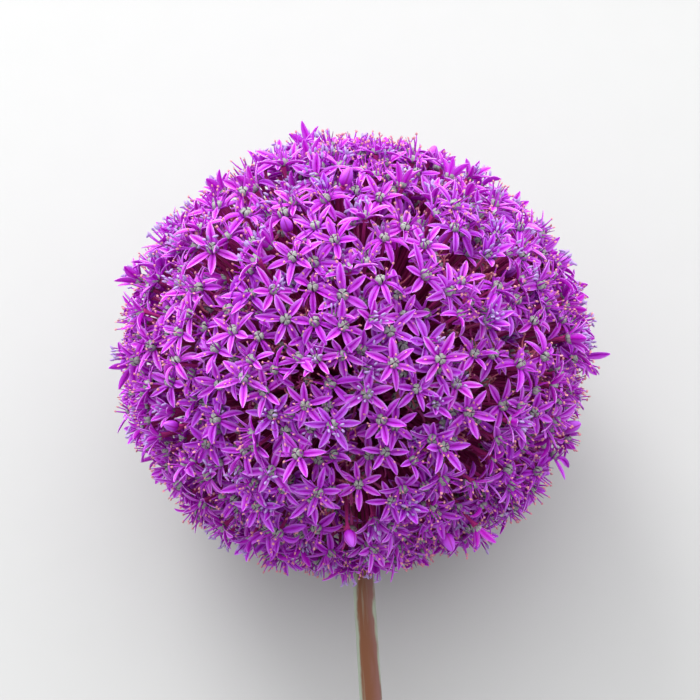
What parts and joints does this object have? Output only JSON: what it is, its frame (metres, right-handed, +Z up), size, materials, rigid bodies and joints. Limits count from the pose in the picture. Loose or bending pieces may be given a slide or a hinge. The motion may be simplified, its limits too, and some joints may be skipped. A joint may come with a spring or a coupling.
{
  "type": "allium flower head",
  "caption": "Cut ornamental allium: a ball of purple star florets on thin stalks, lying on its side with its short scape.",
  "frame": {"origin": "on the surface that the flower head lies on, under the centre of its box", "axes": "+Z up, +Y along the surface from the scape's cut end towards the ball's crown, +X to the right when looking along +Y"},
  "size_m": [0.1472, 0.2414, 0.1418],
  "materials": {
    "florets": "thin, softly shining purple tepals with a darker midrib",
    "scape": "smooth fleshy stalk, brown-pink with pale grey-green streaks"
  },
  "bodies": {
    "root": {"florets_crown": "florets", "florets_tier1_01": "florets", "florets_tier1_02": "florets", "florets_tier1_03": "florets", "florets_tier1_04": "florets", "florets_tier1_05": "florets", "florets_tier1_06": "florets", "florets_tier2_01": "florets", "florets_tier2_02": "florets", "florets_tier2_03": "florets", "florets_tier2_04": "florets", "florets_tier2_05": "florets", "florets_tier2_06": "florets", "florets_tier2_07": "florets", "florets_tier2_08": "florets", "florets_tier2_09": "florets", "florets_tier2_10": "florets", "florets_tier3_01": "florets", "florets_tier3_02": "florets", "florets_tier3_03": "florets", "florets_tier3_04": "florets", "florets_tier3_05": "florets", "florets_tier3_06": "florets", "florets_tier3_07": "florets", "florets_tier3_08": "florets", "florets_tier3_09": "florets", "florets_tier3_10": "florets", "florets_tier3_11": "florets", "florets_tier3_12": "florets", "florets_tier4_01": "florets", "florets_tier4_02": "florets", "florets_tier4_03": "florets", "florets_tier4_04": "florets", "florets_tier4_05": "florets", "florets_tier4_06": "florets", "florets_tier4_07": "florets", "florets_tier4_08": "florets", "florets_tier4_09": "florets", "florets_tier4_10": "florets", "florets_tier4_11": "florets", "florets_tier4_12": "florets", "florets_tier5_01": "florets", "florets_tier5_02": "florets", "florets_tier5_03": "florets", "florets_tier5_04": "florets", "florets_tier5_05": "florets", "florets_tier5_06": "florets", "florets_tier5_07": "florets", "florets_tier5_08": "florets", "florets_tier5_09": "florets", "florets_tier6_01": "florets", "florets_tier6_02": "florets", "florets_tier6_03": "florets", "florets_tier6_04": "florets", "florets_tier6_05": "florets", "florets_tier6_06": "florets", "scape": "scape"}
  },
  "joints": []
}
